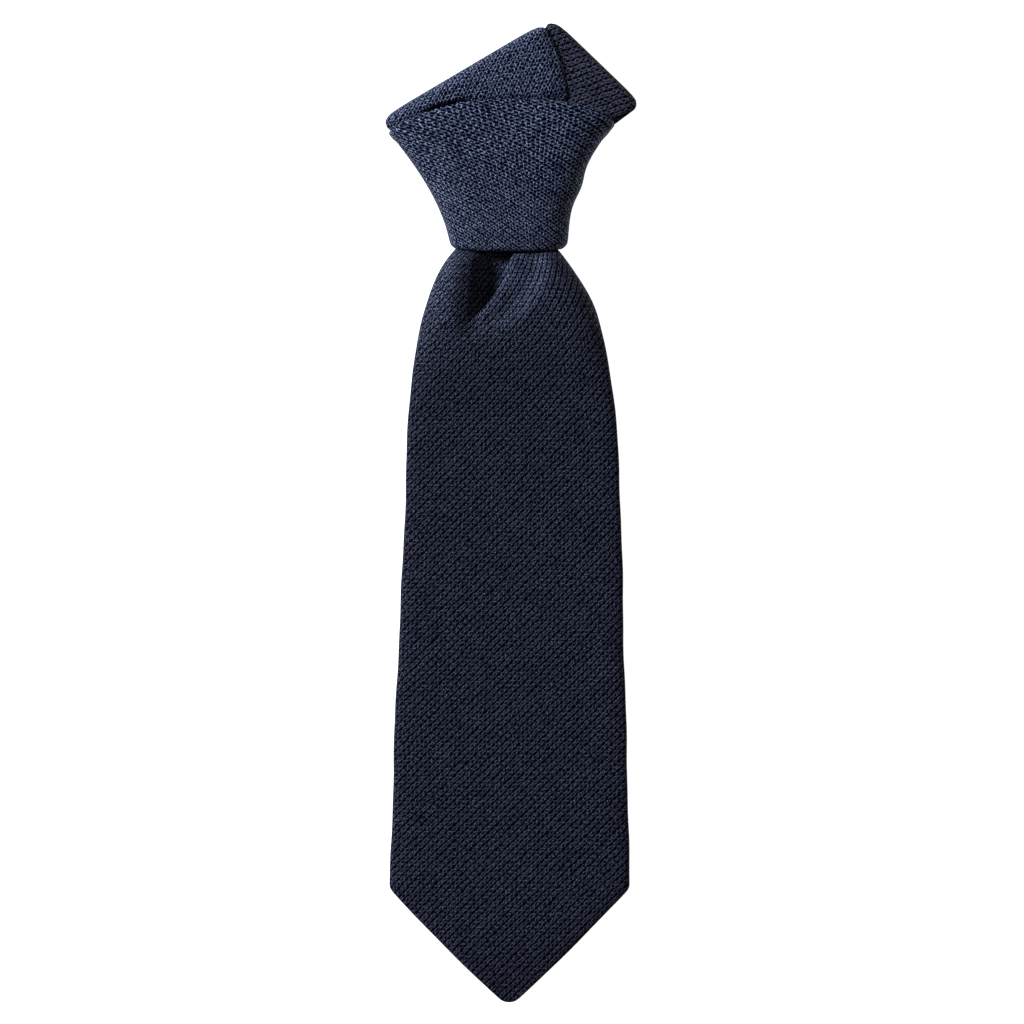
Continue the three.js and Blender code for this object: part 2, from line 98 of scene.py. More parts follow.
BLADE_WIDTH = 80
BLADE_THICK = 3.2
WAIST_WIDTH = 36
SHOULDER_GAIN = 31
SHOULDER_LENGTH = 20
POINT_LENGTH = 38
CORNER_Y = TIP_Y + POINT_LENGTH
POINT_RADIUS = 4.6
POINT_BOW = 1.0
DROOP = 4
DROOP_LENGTH = 25
BLADE_GAP = 3.7
BLADE_HEM = 7

# The dimple under the knot

SWELL = 7.4
DIMPLE_LEFT = -12.8
DIMPLE_RIGHT = 0.4
DIMPLE_LENGTH = 31
DIMPLE_PRESS = 2.8
BOWL_X = -17.8
BOWL_RADIUS = 26
BOWL_DEPTH = 3.8

# The narrow tail

TAIL_TOP_WIDTH = 30
TAIL_WIDTH = 38
TAIL_THICK = 2.6
TAIL_POINT_LENGTH = 19
TAIL_POINT_RADIUS = 2.5
TAIL_HEM = 5
TAIL_Z = 7.4
TAIL_SLOPE = 0.0099

# The knot and the neck bands

FOOT_HALF = 20
LEFT_FLARE = 22.3
RIGHT_FLARE = 17.5
WRAP_THICK = 2.6
BAND_THICK = 2.0
MOUTH_X = -20
MOUTH_Y = 128
MOUTH_DEPTH = 4.4

# The neck loop behind the tie

LEG_WIDTH = 33.4
LEG_CENTRE = 16.72
SPREAD_Y = 12
LEVEL_STEP = 2.3
CLIMB_START = 26
CLIMB_LENGTH = 22

# Cloth

SILK_THICK = 0.5
SLIT = 0.12
LINING_RISE = 6


def clamp01(value):
    return np.clip(value, 0, 1)


def ease(value):
    return clamp01(value) ** 2 * (3 - 2 * clamp01(value))


def mix(start, end, share):
    return start + (end - start) * share


# Meshes


def grid_quads(rows, columns, first=0):
    """The quads of a grid of vertices, rows by columns, whose first vertex has the number first."""
    index = first + np.arange(rows * columns).reshape(rows, columns)
    corners = (index[:-1, :-1], index[:-1, 1:], index[1:, 1:], index[1:, :-1])
    return np.stack(corners, axis=-1).reshape(-1, 4)


def rim_quads(outer, inner):
    """The quads that join two matching loops of vertex numbers."""
    corners = (outer, np.roll(outer, -1), np.roll(inner, -1), inner)
    return np.stack(corners, axis=-1)


def volume_of(points, quads):
    """The signed volume inside closed quads."""
    a, b, c, d = (points[quads[:, i]] for i in range(4))
    twice = np.cross(b - a, c - a) + np.cross(c - a, d - a)
    return float(np.sum((a + c) * twice) / 12)


def add_mesh(name, points, faces, cloth, material):
    """A piece from points in millimetres, with its cloth coordinates as a UV map."""
    mesh = bpy.data.meshes.new(name)
    mesh.from_pydata(((points + [AXIS_X, 0, 0]) * MM).tolist(), [], faces)
    corners = cloth[np.concatenate(faces)].astype(np.float32)
    mesh.uv_layers.new(name="cloth").data.foreach_set("uv", corners.reshape(-1))
    mesh.polygons.foreach_set("use_smooth", [True] * len(faces))
    mesh.materials.append(material)
    piece = bpy.data.objects.new(name, mesh)
    bpy.context.scene.collection.objects.link(piece)
    return piece


def normals_of(surface):
    """Unit normals of a grid of points."""
    along = np.gradient(surface, axis=0)
    across = np.gradient(surface, axis=1)
    normal = np.cross(across, along)
    length = np.linalg.norm(normal, axis=-1, keepdims=True)
    return normal / np.maximum(length, 1e-9)


def thick_sheet(name, surface, outwards, wall, cloth, material):
    """A sheet with a thickness: its outer side is the surface, its inner side lies a wall below."""
    rows, columns, _ = surface.shape
    normal = normals_of(surface)
    if np.sum(normal * outwards) < 0:
        normal = -normal
    inner = surface - normal * np.asarray(wall).reshape(-1, 1, 1)
    points = np.concatenate([surface.reshape(-1, 3), inner.reshape(-1, 3)])
    index = np.arange(rows * columns).reshape(rows, columns)
    loop = np.concatenate([index[0, :-1], index[:-1, -1], index[-1, :0:-1], index[:0:-1, 0]])
    top = grid_quads(rows, columns)
    below = grid_quads(rows, columns, rows * columns)[:, ::-1]
    rim = rim_quads(loop, loop + rows * columns)[:, ::-1]
    quads = np.concatenate([top, below, rim])
    if volume_of(points, quads) < 0:
        quads = quads[:, ::-1]
    both = np.concatenate([cloth.reshape(-1, 2), cloth.reshape(-1, 2)])
    return add_mesh(name, points, quads.tolist(), both, material)


def rolled_profile(columns, squareness, flatness):
    """Points across a flat strip with rolled edges, -1 to 1, and their heights from 0 to 1."""
    angle = np.linspace(-np.pi / 2, np.pi / 2, 4001)
    across = np.sign(angle) * np.abs(np.sin(angle)) ** (2 / squareness)
    height = np.cos(angle)
    steps = np.hypot(np.diff(across), np.diff(height) * flatness)
    length = np.concatenate([[0], np.cumsum(steps)])
    even = np.linspace(0, length[-1], columns)
    return np.interp(even, length, across), np.interp(even, length, height)


def lay_sheath(name, place, flat, seam, thick, material, columns=(24, 12), squareness=10, wall=SILK_THICK,
               weave_turn=0, relief=None):
    """A sheath of silk folded round its lining, closed behind by two lips a seam apart.

    place(across, height) gives points from -1 to 1 across each row and a height from its middle
    surface. flat holds each row's middle and half-width on the flat cloth. seam is the share of the
    half-width that stays open, thick the thickness and wall the silk's own, one for each row.
    The cloth runs round the rolled edges at its full length.
    """
    middle, half = flat
    rows = len(middle)
    thick = np.broadcast_to(thick, rows).reshape(-1, 1)
    seam = np.broadcast_to(seam, rows).reshape(-1, 1)
    front, rise = rolled_profile(columns[0], squareness, BLADE_THICK / BLADE_WIDTH)
    inward = np.linspace(0, 1, columns[1])[1:] ** 1.6
    lip = 1 - inward * (1 - seam)
    lip_height = -np.sqrt(1 - lip**squareness)
    across = np.hstack([-lip[:, ::-1], np.tile(front, (rows, 1)), lip])
    height = np.hstack([lip_height[:, ::-1], np.tile(rise, (rows, 1)), lip_height])
    rolled = height * thick / 2 / np.linalg.norm(half, axis=1, keepdims=True)
    steps = np.hypot(np.diff(across), np.diff(rolled))
    on_cloth = np.cumsum(np.pad(steps, ((0, 0), (1, 0))), axis=1)
    on_cloth -= on_cloth[:, -1:] / 2
    surface = place(across, height * thick / 2)
    if relief is not None:
        front_rise, back_rise = relief(*np.moveaxis(surface, -1, 0))
        surface[..., 2] += mix(back_rise, front_rise, clamp01(height + 0.5))
    outwards = surface - place(across * 0.98, height * 0)
    cloth = middle[:, None] + half[:, None] * on_cloth[..., None]
    cosine, sine = np.cos(weave_turn), np.sin(weave_turn)
    turned = cloth @ np.array([[cosine, -sine], [sine, cosine]])
    return thick_sheet(name, surface, outwards, wall, turned, material)


def lay_strip(name, place, flat, low, thick, material, share=0.94, columns=14, relief=None):
    """A flat strip inside a sheath, such as its interlining, which moves with the sheath's back."""
    middle, half = flat
    across = np.tile(np.linspace(-share, share, columns), (len(middle), 1))
    surface = place(across, np.full_like(across, low + thick))
    under = place(across, np.full_like(across, low))
    if relief is not None:
        surface[..., 2] += relief(*np.moveaxis(surface, -1, 0))[1]
    cloth = middle[:, None] + half[:, None] * across[..., None]
    return thick_sheet(name, surface, surface - under, np.full(len(middle), thick), cloth, material)


def tube_along(path, radius, sides):
    """The points of a round tube that narrows at both ends, ring by ring, and their cloth coordinates."""
    angle = np.linspace(0, 2 * np.pi, sides, endpoint=False)
    along = np.gradient(path, axis=0)
    along /= np.linalg.norm(along, axis=1, keepdims=True)
    aside = np.cross(along, [0.3, 0.2, 0.93])
    aside /= np.linalg.norm(aside, axis=1, keepdims=True)
    above = np.cross(aside, along)
    thin = np.full(len(path), radius)
    thin[[0, -1]] = radius * 0.3
    ring = aside[:, None] * np.cos(angle)[:, None] + above[:, None] * np.sin(angle)[:, None]
    tube = path[:, None] + ring * thin[:, None, None]
    run = np.cumsum(np.linalg.norm(np.gradient(path, axis=0), axis=1))
    around = np.tile(angle * radius, (len(path), 1))
    return tube, np.stack([around, np.tile(run[:, None], (1, sides))], axis=-1)


def add_tubes(name, paths, radius, material, sides=7):
    """Threads: a round tube along each path, closed at both ends, all in one piece."""
    points, faces, cloth = [], [], []
    first = 0
    for path in paths:
        tube, on_cloth = tube_along(np.asarray(path, float), radius, sides)
        index = first + np.arange(len(path) * sides).reshape(-1, sides)
        first += index.size
        for here, after in zip(index[:-1], index[1:]):
            faces += rim_quads(here, after).tolist()
        for end in (index[0], index[-1][::-1]):
            faces += [[int(end[0]), int(end[i]), int(end[i + 1])] for i in range(1, sides - 1)]
        points.append(tube.reshape(-1, 3))
        cloth.append(on_cloth.reshape(-1, 2))
    return add_mesh(name, np.concatenate(points), faces, np.concatenate(cloth), material)


# Routes


class Route:
    """The course of a band as rows: each row's edges and height, its face, and its place on flat cloth."""

    def __init__(self):
        self.left, self.right, self.height, self.normal = [], [], [], []
        self.flat_left, self.flat_right = [], []
        self.matrix = np.eye(2)
        self.offset = np.zeros(2)

    def add_row(self, left, right, height, normal, ahead=0, outward=(0, 0)):
        """One row. ahead is how far the cloth has run beyond the row's plan position, outwards."""
        self.left.append(left)
        self.right.append(right)
        self.height.append(height)
        self.normal.append(normal)
        for flat, edge in ((self.flat_left, left), (self.flat_right, right)):
            start = np.asarray(edge) + np.asarray(outward) * ahead
            flat.append(self.matrix @ start + self.offset)

    def run(self, lefts, rights, heights, face):
        """A flat stretch, with its face up (1) or down (-1)."""
        for left, right, height in zip(lefts, rights, heights):
            self.add_row(left, right, height, (0, 0, face))

    def fold(self, outward, reach, drop, steps, corners=(0, 0)):
        """A hairpin fold over the last row's line, down by drop, after which the face looks the other way.

        corners are the radii of the left and right end of the fold, seen from above.
        """
        left, right, height = np.array(self.left[-1]), np.array(self.right[-1]), self.height[-1]
        face = self.normal[-1][2]
        outward = np.array(outward)
        along = (right - left) / np.linalg.norm(right - left)
        arc = np.pi * (reach + drop / 2) / 2
        for step in range(1, steps):
            angle = np.pi * step / steps
            out = outward * reach * np.sin(angle)
            level = height - drop / 2 * (1 - np.cos(angle))
            lean = face * np.sin(angle)
            normal = (outward[0] * lean, outward[1] * lean, face * np.cos(angle))
            ahead = arc * step / steps - reach * np.sin(angle)
            pull = along * (1 - abs(np.cos(angle)))
            ends = left + out + pull * corners[0], right + out - pull * corners[1]
            self.add_row(*ends, level, normal, ahead, outward)
        mirror = np.eye(2) - 2 * np.outer(outward, outward)
        shift = 2 * outward * (outward @ left) + outward * arc
        self.offset = self.offset + self.matrix @ shift
        self.matrix = self.matrix @ mirror

    def place(self, across, height):
        """Points at shares across the rows, -1 to 1, raised from the middle surface along the face."""
        left = np.column_stack([self.left, self.height])
        right = np.column_stack([self.right, self.height])
        middle, half = (left + right) / 2, (right - left) / 2
        normal = np.array(self.normal, float)
        normal /= np.linalg.norm(normal, axis=1, keepdims=True)
        return middle[:, None] + half[:, None] * across[..., None] + normal[:, None] * height[..., None]

    def flat(self):
        left, right = np.array(self.flat_left), np.array(self.flat_right)
        return (left + right) / 2, (right - left) / 2

    def half_widths(self):
        return np.linalg.norm(np.array(self.right) - np.array(self.left), axis=1) / 2


def course(points, steps):
    """Evenly spaced points on a smooth line through a few points."""
    points = np.asarray(points, float)
    knots = np.concatenate([[0], np.cumsum(np.linalg.norm(np.diff(points, axis=0), axis=1))])
    slopes = np.gradient(points, knots, axis=0)
    at = np.linspace(0, knots[-1], steps)
    piece = np.clip(np.searchsorted(knots, at, side="right") - 1, 0, len(knots) - 2)
    span = (knots[piece + 1] - knots[piece])[:, None]
    t = ((at - knots[piece])[:, None]) / span
    from_start = (1 + 2 * t) * (1 - t) ** 2 * points[piece] + t * (1 - t) ** 2 * span * slopes[piece]
    from_end = t**2 * (3 - 2 * t) * points[piece + 1] + t**2 * (t - 1) * span * slopes[piece + 1]
    return from_start + from_end


# Outlines that several pieces share, about the axis of the blade


def knot_left(y):
    return FOOT_HALF + LEFT_FLARE * clamp01((y - KNOT_FOOT_Y) / 41) ** 1.62


def knot_right(y):
    bulge = 1.3 * np.exp(-(((y - 110) / 5) ** 2))
    return FOOT_HALF + RIGHT_FLARE * clamp01((y - KNOT_FOOT_Y) / 44) ** 2.3 + bulge


def wrap_top(x):
    """The top edge of the knot's front, which falls away to both sides."""
    left = 9 * clamp01(-x / 40) ** 2.2
    right = 6 * clamp01(x / 37) ** 3
    return KNOT_TOP_Y - left - right


def tail_floor(y):
    return TAIL_Z - TAIL_SLOPE * (KNOT_TOP_Y - y)


def blade_floor(y):
    """The underside of the blade, which rises to the knot and droops at its point."""
    lift = 1.5 * np.exp((y - BLADE_TOP_Y) / 15)
    droop = DROOP * clamp01((TIP_Y + DROOP_LENGTH - y) / DROOP_LENGTH) ** 2
    return tail_floor(y) + BLADE_GAP + lift - droop


def ripple(y, size, phase):
    """A small unevenness along a hand-pressed edge."""
    short = np.sin(y / 2.9 + phase) * 0.35
    return size * (short + np.sin(y / 7.7 + 2 * phase) + np.sin(y / 19 + 3 * phase))


def pointed_half(y, tip, radius, body):
    """Half the width of a band whose end is a right-angled point with a small radius."""
    rise = y - tip
    turned = np.sqrt(np.maximum(radius**2 - (radius - np.minimum(rise, radius)) ** 2, 0))
    slanted = rise + radius * (np.sqrt(2) - 1)
    point = np.where(rise < radius * (1 - np.sqrt(0.5)), turned, slanted)
    softness = 1.4
    gap = clamp01(0.5 + (body - point) / (2 * softness))
    return mix(body, point, gap) - softness * gap * (1 - gap)


def blade_half(y):
    below = np.maximum(BLADE_TOP_Y - y, -4)
    taper = (BLADE_WIDTH - WAIST_WIDTH - SHOULDER_GAIN) / (BLADE_TOP_Y - CORNER_Y)
    shoulder = SHOULDER_GAIN * (1 - np.exp(-below / SHOULDER_LENGTH))
    body = (WAIST_WIDTH + shoulder + taper * below) / 2 + 0.5 * ease(below / 30)
    bow = POINT_BOW * np.sin(np.pi * clamp01((y - TIP_Y) / POINT_LENGTH))
    return pointed_half(y, TIP_Y, POINT_RADIUS, body) + bow


def blade_centre(y):
    """The blade sways: its middle lies a little right of its axis, and its top a little left."""
    return 0.3 + 0.9 * np.exp(-((y / 60) ** 2)) - 0.3 * ease((-100 - y) / 40) - 1.3 * ease((y - 66) / 20)


def blade_relief(x, y, z):
    """How far the blade's front stands up below the knot around its dimple, and how its back follows.

    The front swells out from under the knot and tucks in at its edges. The dimple, as wide as its
    section, takes the swell away and presses the back down too. A shallow bowl lies round it.
    """
    below = KNOT_FOOT_Y - y
    aside = clamp01(np.abs((x - blade_centre(y)) / np.maximum(blade_half(y), 1)))
    full = ease((below + 0.4) / 4.2) * np.exp(-(np.maximum(below - 12, 0) / 26) ** 1.8)
    swell = SWELL * full * (1 - aside**6)
    tuck = 2.4 * aside**3 * ease((5 - below) / 6)
    left = DIMPLE_LEFT - 0.06 * below
    right = DIMPLE_RIGHT - 0.021 * np.maximum(below, 0) ** 2
    left_wall = np.maximum(8.6 - 0.2 * below, 2)
    section = ease((x - left) / left_wall) * ease((right + 1.8 - x) / 2.6)
    pressed = DIMPLE_PRESS * ease((below + 4) / 5)
    fading = ease((DIMPLE_LENGTH - below) / 17)
    from_bowl = np.hypot(x - BOWL_X, y - KNOT_FOOT_Y)
    bowl = BOWL_DEPTH * (1 - ease((from_bowl - BOWL_RADIUS) / 7)) * ease((x + 20) / 10) * full
    front = swell - tuck - (SWELL * full + pressed) * fading * section - bowl * (1 - section)
    around = ease((x - left + 1) / 5) * ease((right + 6.5 - x) / 5)
    return front, -tuck - pressed * fading * around


def mouth_dip(x, y):
    """The left band sinks behind the top edge of the knot, deepest where the mouth stands open."""
    edge = wrap_top(x)
    line = 1.3 * ease((edge + 2.2 - y) / 3) * ease((x + 36) / 10)
    mouth = MOUTH_DEPTH * np.exp(-(np.abs((x - MOUTH_X) / 6.5) ** 3)) * ease((edge + 1.8 - y) / 3.2)
    return -line - mouth


# Materials


class Graph:
    """A material's node tree, built from the cloth coordinates to the shader."""

    def __init__(self, name):
        self.material = bpy.data.materials.new(name)
        self.material.use_nodes = True
        self.tree = self.material.node_tree
        self.tree.nodes.clear()
        self.output = self.tree.nodes.new("ShaderNodeOutputMaterial")
        self.shader = self.node("ShaderNodeBsdfPrincipled")
        self.tree.links.new(self.shader.outputs[0], self.output.inputs["Surface"])

    def node(self, kind, inputs=None, **settings):
        """A node with its settings, and its inputs by name or number: sockets are linked, values set."""
        made = self.tree.nodes.new(kind)
        for key, value in settings.items():
            setattr(made, key, value)
        for key, value in (inputs or {}).items():
            self.feed(made.inputs[key], value)
        return made

    def feed(self, socket, value):
        if isinstance(value, bpy.types.NodeSocket):
            self.tree.links.new(value, socket)
        else:
            socket.default_value = value

    def math(self, operation, *values):
        return self.node("ShaderNodeMath", dict(enumerate(values)), operation=operation).outputs[0]

    def ramp(self, value, start, end):
        """0 where the value is at its start, and 1 where it is at its end."""
        return self.node("ShaderNodeMapRange", {0: value, 1: start, 2: end}).outputs[0]

    def colour_mix(self, share, first, second):
        made = self.node("ShaderNodeMix", data_type="RGBA")
        for number, value in ((0, share), (6, first), (7, second)):
            self.feed(made.inputs[number], value)
        return made.outputs[2]

    def cloth(self):
        """The cloth coordinates across and along the band, in millimetres."""
        vector = self.node("ShaderNodeUVMap", uv_map="cloth").outputs[0]
        parts = self.node("ShaderNodeSeparateXYZ", {0: vector})
        return vector, parts.outputs[0], parts.outputs[1]

    def noise(self, vector, scale, detail=2.0):
        made = self.node("ShaderNodeTexNoise", {"Vector": vector, "Scale": scale, "Detail": detail})
        return made.outputs[0]

    def finish(self, colour, roughness, height=None, depth=0.2, bump=1.0, **shader):
        """The material, with its colour, bumps and any other inputs of the shader."""
        self.feed(self.shader.inputs["Base Color"], colour)
        self.shader.inputs["Roughness"].default_value = roughness
        for key, value in shader.items():
            self.shader.inputs[key.replace("_", " ")].default_value = value
        if height is not None:
            facts = {"Height": height, "Distance": depth * MM, "Strength": bump}
            self.feed(self.shader.inputs["Normal"], self.node("ShaderNodeBump", facts).outputs[0])
        return self.material


# The grenadine's weave: chains of pores a ROW apart, and a pore's width and share of the pitch

ROW = 0.985
PORE_WIDTH = 0.74
PORE_SHARE = 0.68
DIAGONAL = 0.7071


def open_pores(g, cloth, pitch, wander, weak_pore):
    """How open the weave is, the distance from the middle of a chain of pores, and 1 on a weak chain."""
    vector, across, along = cloth
    slow = g.math("MULTIPLY", g.math("SUBTRACT", g.noise(vector, 0.3), 0.5), 1.1 * wander)
    quick = g.math("MULTIPLY", g.math("SUBTRACT", g.noise(vector, 0.9), 0.5), 0.5 * wander)
    over = g.math("MULTIPLY", g.math("SUBTRACT", along, across), DIAGONAL)
    lanes = g.math("DIVIDE", g.math("ADD", over, g.math("ADD", slow, quick)), ROW)
    chain = g.math("ROUND", lanes)
    weak = g.math("FLOORED_MODULO", chain, 2.0)
    rib = g.math("ADD", g.math("MULTIPLY", g.math("ADD", along, across), DIAGONAL), quick)
    slip = g.node("ShaderNodeTexWhiteNoise", {"W": chain}, noise_dimensions="1D").outputs[0]
    stagger = g.math("ADD", g.math("MULTIPLY", weak, 0.5), g.math("MULTIPLY", slip, 0.3))
    pores = g.math("ADD", g.math("DIVIDE", rib, pitch), stagger)
    cell = g.node("ShaderNodeCombineXYZ", {0: chain, 1: g.math("FLOOR", pores)}).outputs[0]
    chance = g.node("ShaderNodeTexWhiteNoise", {"Vector": cell}, noise_dimensions="3D").outputs[0]
    growth = g.math("ADD", 0.8, g.math("MULTIPLY", chance, 0.4))
    shrunk = g.math("SUBTRACT", 1.0, g.math("MULTIPLY", weak, 1.0 - weak_pore))
    aside = g.math("MULTIPLY", g.math("ABSOLUTE", g.math("SUBTRACT", lanes, chain)), ROW)
    ahead = g.math("ABSOLUTE", g.math("SUBTRACT", g.math("FRACT", pores), 0.5))
    breadth = g.math("POWER", g.math("DIVIDE", aside, PORE_WIDTH / 2), 2.0)
    length = g.math("POWER", g.math("DIVIDE", ahead, PORE_SHARE / 2), 2.0)
    reach = g.math("SQRT", g.math("ADD", breadth, length))
    openness = g.ramp(g.math("DIVIDE", reach, g.math("MULTIPLY", growth, shrunk)), 1.2, 0.85)
    return openness, aside, weak


def grenadine(name, dark, body, bright, pitch=2.0, wander=1.0, weak_pore=0.66, valley=0.7, painted_swell_light=None):
    """Open gauze silk: chains of dark pores run across the diagonal, staggered from chain to chain.

    Every second chain lies in a valley between two ribs, and its colour is darkened by the share valley:
    painted shade. The pores of the others, the weak chains on top of the ribs, reach weak_pore of the full
    size. pitch is the distance from pore to pore, and wander how far the chains stray from straight lines.
    The yarn rises from body to bright at random glints: painted highlights of the silk's sheen. Where the
    last argument is given, the yarn's bright colour grows to it over the last stretch of cloth below the
    knot: painted light on the swell there.
    """
    g = Graph(name)
    vector, across, along = g.cloth()
    openness, aside, weak = open_pores(g, (vector, across, along), pitch, wander, weak_pore)
    slope = g.ramp(aside, 0.1, ROW / 2)
    # Painted shade: the chains in the valleys between ribs are darkened by the share valley.
    dip = g.math("SUBTRACT", valley, g.math("MULTIPLY", weak, valley))
    low = g.math("MULTIPLY", g.math("SUBTRACT", 1.0, slope), dip)
    cover = g.math("MAXIMUM", g.math("SUBTRACT", 1.0, g.math("ADD", openness, low)), 0.0)
    # Painted highlights: random bright glints of the silk's sheen take the yarn from its body colour to its
    # bright one; patch adds a little random tone.
    glints = g.ramp(g.noise(vector, 2.3, 1.0), 0.36, 0.66)
    patch = g.noise(vector, 0.12, 3.0)
    light = g.math("ADD", g.math("MULTIPLY", glints, 0.85), g.math("MULTIPLY", patch, 0.15))
    # Painted light: over the last stretch of cloth below the knot the yarn's bright colour grows lighter,
    # for the light on the swell there.
    swell_light_share = g.ramp(along, KNOT_FOOT_Y - 45, KNOT_FOOT_Y - 10)
    shine = g.colour_mix(swell_light_share, (*bright, 1), (*(painted_swell_light or bright), 1))
    yarn = g.colour_mix(g.math("POWER", light, 2.8), (*body, 1), shine)
    colour = g.colour_mix(cover, (*dark, 1), yarn)
    height = g.math("MULTIPLY", cover, g.math("ADD", 0.7, g.math("MULTIPLY", glints, 0.3)))
    return g.finish(colour, 0.6, height, depth=0.3, bump=0.7, Specular_IOR_Level=0.02)


def shade_of(colour, share):
    return (*(share * c for c in colour), 1)


def satin(name, colour):
    """A plain lining: a fine steep twill with a soft shine."""
    g = Graph(name)
    vector, across, along = g.cloth()
    diagonal = g.math("ADD", g.math("MULTIPLY", across, 0.35), along)
    twill = g.math("SINE", g.math("MULTIPLY", diagonal, 14.0))
    drawn_out = g.node("ShaderNodeMapping", {"Vector": vector, "Scale": (6, 0.4, 1)}).outputs[0]
    slub = g.noise(drawn_out, 1.0, 3.0)
    light = g.math("ADD", g.math("MULTIPLY", twill, 0.12), slub)
    shade = g.colour_mix(light, shade_of(colour, 0.55), shade_of(colour, 1.5))
    return g.finish(shade, 0.38, light, depth=0.05, bump=0.5, Specular_IOR_Level=0.25)


def wool(name):
    """Brushed interlining: a loose canvas with a felted nap."""
    g = Graph(name)
    vector, across, along = g.cloth()
    warp = g.math("SINE", g.math("MULTIPLY", across, 5.2))
    weft = g.math("SINE", g.math("MULTIPLY", along, 5.2))
    nap = g.noise(vector, 2.4, 5.0)
    weave = g.math("ADD", g.math("MULTIPLY", g.math("MULTIPLY", warp, weft), 0.25), nap)
    shade = g.colour_mix(weave, (0.38, 0.34, 0.26, 1), (0.78, 0.74, 0.62, 1))
    return g.finish(shade, 0.95, weave, depth=0.25, bump=0.8, Sheen_Weight=0.5)


def sewing_thread(name):
    """Two plies twisted together."""
    g = Graph(name)
    _, across, along = g.cloth()
    twist = g.math("SINE", g.math("ADD", g.math("MULTIPLY", along, 9.0), g.math("MULTIPLY", across, 18.0)))
    level = g.math("ADD", 0.5, g.math("MULTIPLY", twist, 0.5))
    shade = g.colour_mix(level, (0.008, 0.009, 0.018, 1), (0.055, 0.06, 0.1, 1))
    return g.finish(shade, 0.45, level, depth=0.06, bump=0.6, Sheen_Weight=0.3)


def paper_white(name):
    """A white that stays white in any light."""
    g = Graph(name)
    return g.finish((0.5, 0.5, 0.5, 1), 0.9, Emission_Color=(1, 1, 1, 1), Emission_Strength=1.0)


# The blade's silk, with painted light on its last stretch below the knot.
BLADE_SILK = grenadine("blade_grenadine", dark=(0, 0, 0.0012), body=(0.006, 0.0065, 0.016),
                       bright=(0.105, 0.112, 0.17), painted_swell_light=(0.19, 0.22, 0.34))
# Painted sheen: the knot's silk is a copy about three times as bright as the blade's, standing in for the
# sheen and light the knot's cloth catches.
KNOT_SHEEN_SILK = grenadine("knot_sheen_grenadine", dark=(0, 0.0002, 0.004), body=(0.005, 0.009, 0.028),
                      bright=(0.33, 0.375, 0.54), pitch=1.5, wander=0.7, weak_pore=0.95, valley=0.6)
# Painted light: the left band's silk is a brighter copy of the same silk, lit as if by the lamp on the
# left.
LIT_BAND_SILK = grenadine("lit_band_grenadine", dark=(0, 0.0002, 0.004), body=(0.007, 0.012, 0.034),
                      bright=(0.31, 0.35, 0.51), pitch=1.6, wander=1.3, weak_pore=0.92, valley=0.5)
# Painted shade: the right band's silk is a darker, greyer copy of the same silk, in the shade away from the
# lamp on the left.
SHADED_SILK = grenadine("shaded_grenadine", dark=(0.0003, 0.0003, 0.002), body=(0.012, 0.012, 0.024),
                        bright=(0.15, 0.155, 0.22), wander=1.2, weak_pore=0.7, valley=0.6)
LINING = satin("lining_satin", (0.016, 0.02, 0.05))
WOOL = wool("brushed_wool")
THREAD = sewing_thread("navy_thread")


def bend_blade(piece):
    """Bakes the piece's transform into its mesh."""
    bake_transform(piece)


def declare(piece, body, nodes):
    """Says what a piece is: the body it moves with, if any, and the nodes it stands for, which it hides."""
    if body is not None:
        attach(piece, body)
    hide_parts(*nodes)
    return piece


# The blade


def blade_rows(top, rows=230):
    """Heights on the blade from its hidden top to the tip, closer together where the point is turned."""
    body = np.linspace(top, TIP_Y + 3, rows)
    turn = TIP_Y + 3 * (1 - np.sin(np.linspace(0, np.pi / 2, 12)))[1:]
    return np.concatenate([body, np.maximum(turn, TIP_Y + 0.02)])


def blade_thickness(y):
    """The sheath closes to a thin edge at the very tip."""
    return BLADE_THICK * np.sqrt(np.maximum(1 - (1 - clamp01((y - TIP_Y) / 2.5)) ** 2, 0.02))


def blade_place(y):
    """The place function of the blade's rows at the heights y."""
    floor = blade_floor(y)[:, None]
    half = blade_half(y)[:, None]
    left_wave = ripple(y, 0.16, 0.7)[:, None]
    right_wave = ripple(y, 0.16, 2.1)[:, None]
    centre = blade_centre(y)[:, None]

    def place(across, height):
        wave = np.where(across < 0, left_wave, right_wave) * np.abs(across) ** 3
        x = centre + across * half + wave * clamp01(half / 12)
        middle = floor + BLADE_THICK / 2
        points = np.broadcast_arrays(x, y[:, None] + 0 * x, middle + height)
        return np.stack(points, axis=-1)

    return place


def blade_flat(y):
    """The blade's cloth hardly narrows towards the knot: it is gathered there."""
    widest = BLADE_WIDTH // 2
    cloth_half = np.minimum(widest - 0.025 * (y - CORNER_Y), widest)
    half = np.where(y > CORNER_Y, cloth_half, blade_half(y))
    flat_half = np.stack([half, 0 * y], axis=-1)
    return np.stack([0 * y, y], axis=-1), flat_half


def blade_seam(y):
    """The share of the back that stays open: a slit, and then the window over the lining."""
    half = blade_half(y)
    opened = clamp01((BAR_TACK_Y - y) / (BAR_TACK_Y - CORNER_Y))
    window = np.maximum(mix(SLIT, half - BLADE_HEM, opened), SLIT)
    return np.minimum(window, np.maximum(half - BLADE_HEM, 0.3)) / np.maximum(half, 0.6)


